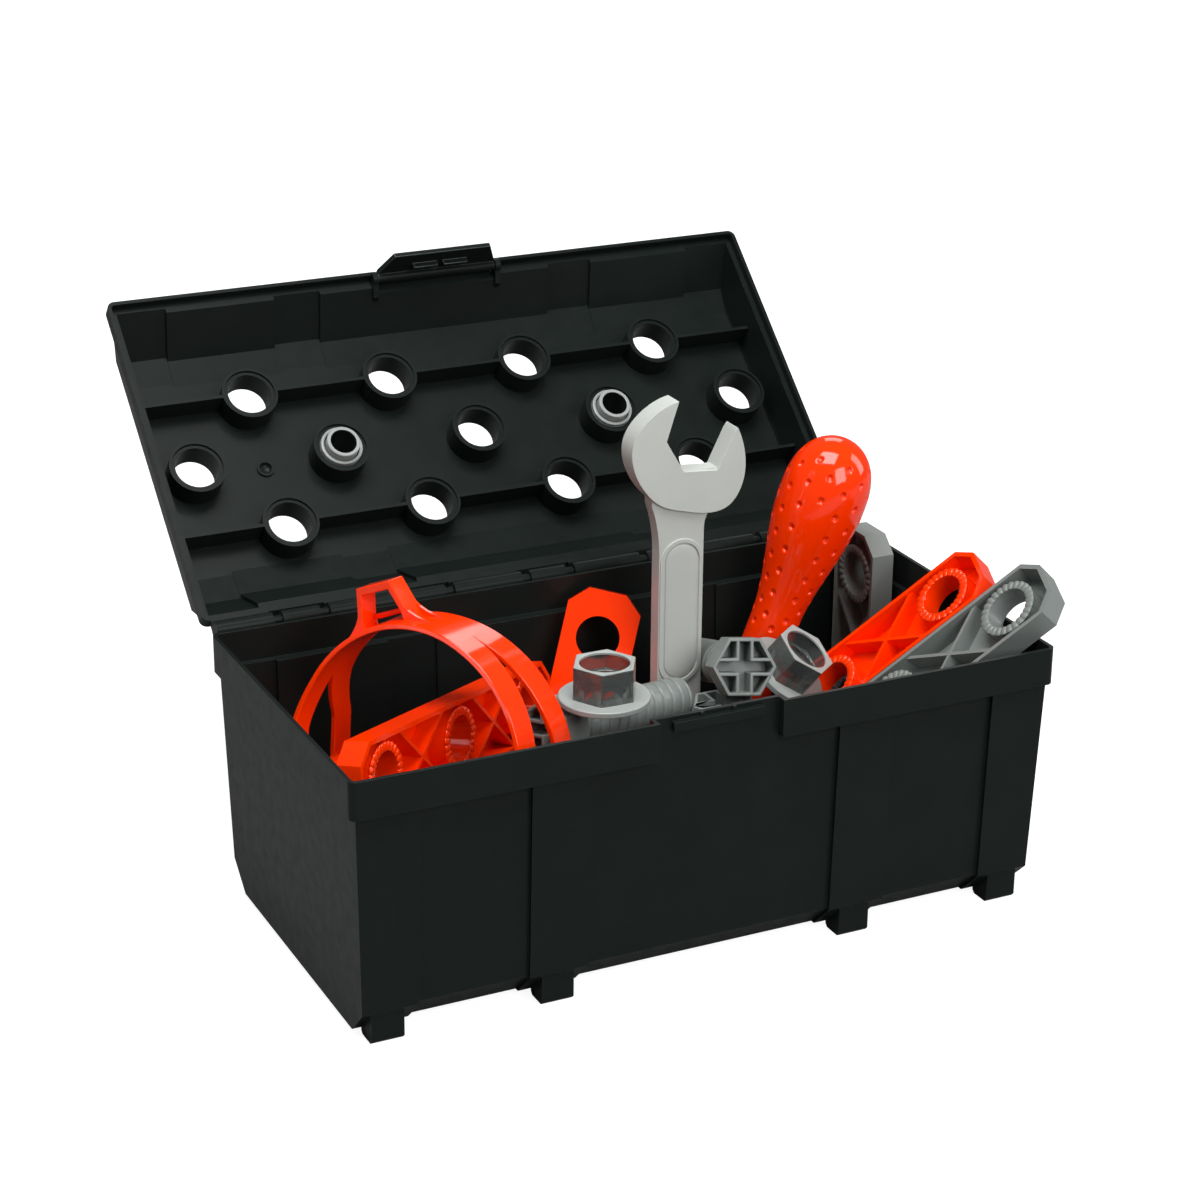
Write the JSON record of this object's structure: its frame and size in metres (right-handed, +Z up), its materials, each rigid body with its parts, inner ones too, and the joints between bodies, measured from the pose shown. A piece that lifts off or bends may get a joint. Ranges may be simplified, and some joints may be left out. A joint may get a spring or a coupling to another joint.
{
  "type": "toy tool box",
  "caption": "Toy tool box with a hinged socketed lid, latch flap and folding handle, filled with a wrench, hammer, ear defenders, building beams, bolts and nuts.",
  "frame": {"origin": "on the floor under the middle of the whole open box, lid and tools included", "axes": "+X to the box's right, +Y to its back and hinge, +Z up"},
  "size_m": [0.3878, 0.348, 0.2797],
  "materials": {
    "black_plastic": "satin",
    "orange_plastic": "gloss",
    "grey_plastic": "satin",
    "silver_plastic": "satin",
    "light_grey_plastic": "satin",
    "smoky_plastic": "gloss"
  },
  "bodies": {
    "box": {"tub": "black_plastic"},
    "lid": {"lid": "black_plastic", "handle_mounts": "light_grey_plastic"},
    "latch": {"latch_flap": "black_plastic"},
    "carry_handle": {"carry_handle": "grey_plastic"},
    "wrench": {"wrench": "silver_plastic"},
    "hammer": {"hammer_handle": "orange_plastic", "hammer_head": "grey_plastic"},
    "ear_defenders": {"ear_defender_band": "orange_plastic", "ear_cup_left": "orange_plastic", "ear_cup_right": "orange_plastic", "ear_cushion_left": "grey_plastic", "ear_cushion_right": "grey_plastic"},
    "beam_orange_left": {"beam_orange_left": "orange_plastic"},
    "beam_orange_centre": {"beam_orange_centre": "orange_plastic"},
    "beam_orange_right": {"beam_orange_right": "orange_plastic"},
    "beam_grey_right": {"beam_grey_right": "grey_plastic"},
    "beam_grey_back": {"beam_grey_back": "grey_plastic"},
    "bolt_centre": {"bolt_centre": "grey_plastic"},
    "bolt_front": {"bolt_front": "grey_plastic"},
    "bolt_left": {"bolt_left": "grey_plastic"},
    "nut_left": {"nut_left": "smoky_plastic"},
    "nut_right": {"nut_right": "smoky_plastic"}
  },
  "joints": [
    {"name": "lid_hinge", "type": "hinge", "parent": "box", "child": "lid", "pos_m": [-0.00889, 0.02204, 0.137], "axis": [-1, 0, 0], "range_deg": [-70, 0]},
    {"name": "latch_hinge", "type": "hinge", "parent": "lid", "child": "latch", "pos_m": [-0.00889, 0.1667, 0.26388], "axis": [1, 0, 0], "range_deg": [-80, 0]},
    {"name": "handle_hinge", "type": "hinge", "parent": "lid", "child": "carry_handle", "pos_m": [-0.00889, 0.12755, 0.17077], "axis": [-1, 0, 0], "range_deg": [-135, 50]},
    {"name": "wrench_lift", "type": "slide", "parent": "box", "child": "wrench", "axis": [0, 0, 1], "range_m": [0, 0.04]},
    {"name": "hammer_lift", "type": "slide", "parent": "box", "child": "hammer", "axis": [0, 0, 1], "range_m": [0, 0.012]},
    {"name": "ear_defenders_lift", "type": "slide", "parent": "box", "child": "ear_defenders", "axis": [0, 0, 1], "range_m": [0, 0.06]},
    {"name": "beam_orange_left_lift", "type": "slide", "parent": "ear_defenders", "child": "beam_orange_left", "axis": [0, 0, 1], "range_m": [0, 0.02]},
    {"name": "beam_orange_centre_pull", "type": "slide", "parent": "box", "child": "beam_orange_centre", "axis": [0.3493, 0.2299, 0.9084], "range_m": [0, 0.04]},
    {"name": "beam_orange_right_pull", "type": "slide", "parent": "box", "child": "beam_orange_right", "axis": [0.6214, -0.3864, 0.6816], "range_m": [0, 0.04]},
    {"name": "beam_grey_right_pull", "type": "slide", "parent": "box", "child": "beam_grey_right", "axis": [0.6214, -0.3864, 0.6816], "range_m": [0, 0.05]},
    {"name": "beam_grey_back_lift", "type": "slide", "parent": "box", "child": "beam_grey_back", "axis": [0, 0, 1], "range_m": [0, 0.04]},
    {"name": "bolt_centre_pull", "type": "slide", "parent": "box", "child": "bolt_centre", "axis": [-0.1805, -0.926, 0.3316], "range_m": [0, 0.03]},
    {"name": "bolt_front_pull", "type": "slide", "parent": "box", "child": "bolt_front", "axis": [0, -1, 0], "range_m": [0, 0.025]},
    {"name": "bolt_left_lift", "type": "slide", "parent": "box", "child": "bolt_left", "axis": [0, 0, 1], "range_m": [0, 0.03]},
    {"name": "nut_left_lift", "type": "slide", "parent": "bolt_left", "child": "nut_left", "axis": [0, 0, 1], "range_m": [0, 0.03]},
    {"name": "nut_right_lift", "type": "slide", "parent": "beam_orange_right", "child": "nut_right", "axis": [0, 0, 1], "range_m": [0, 0.03]}
  ]
}
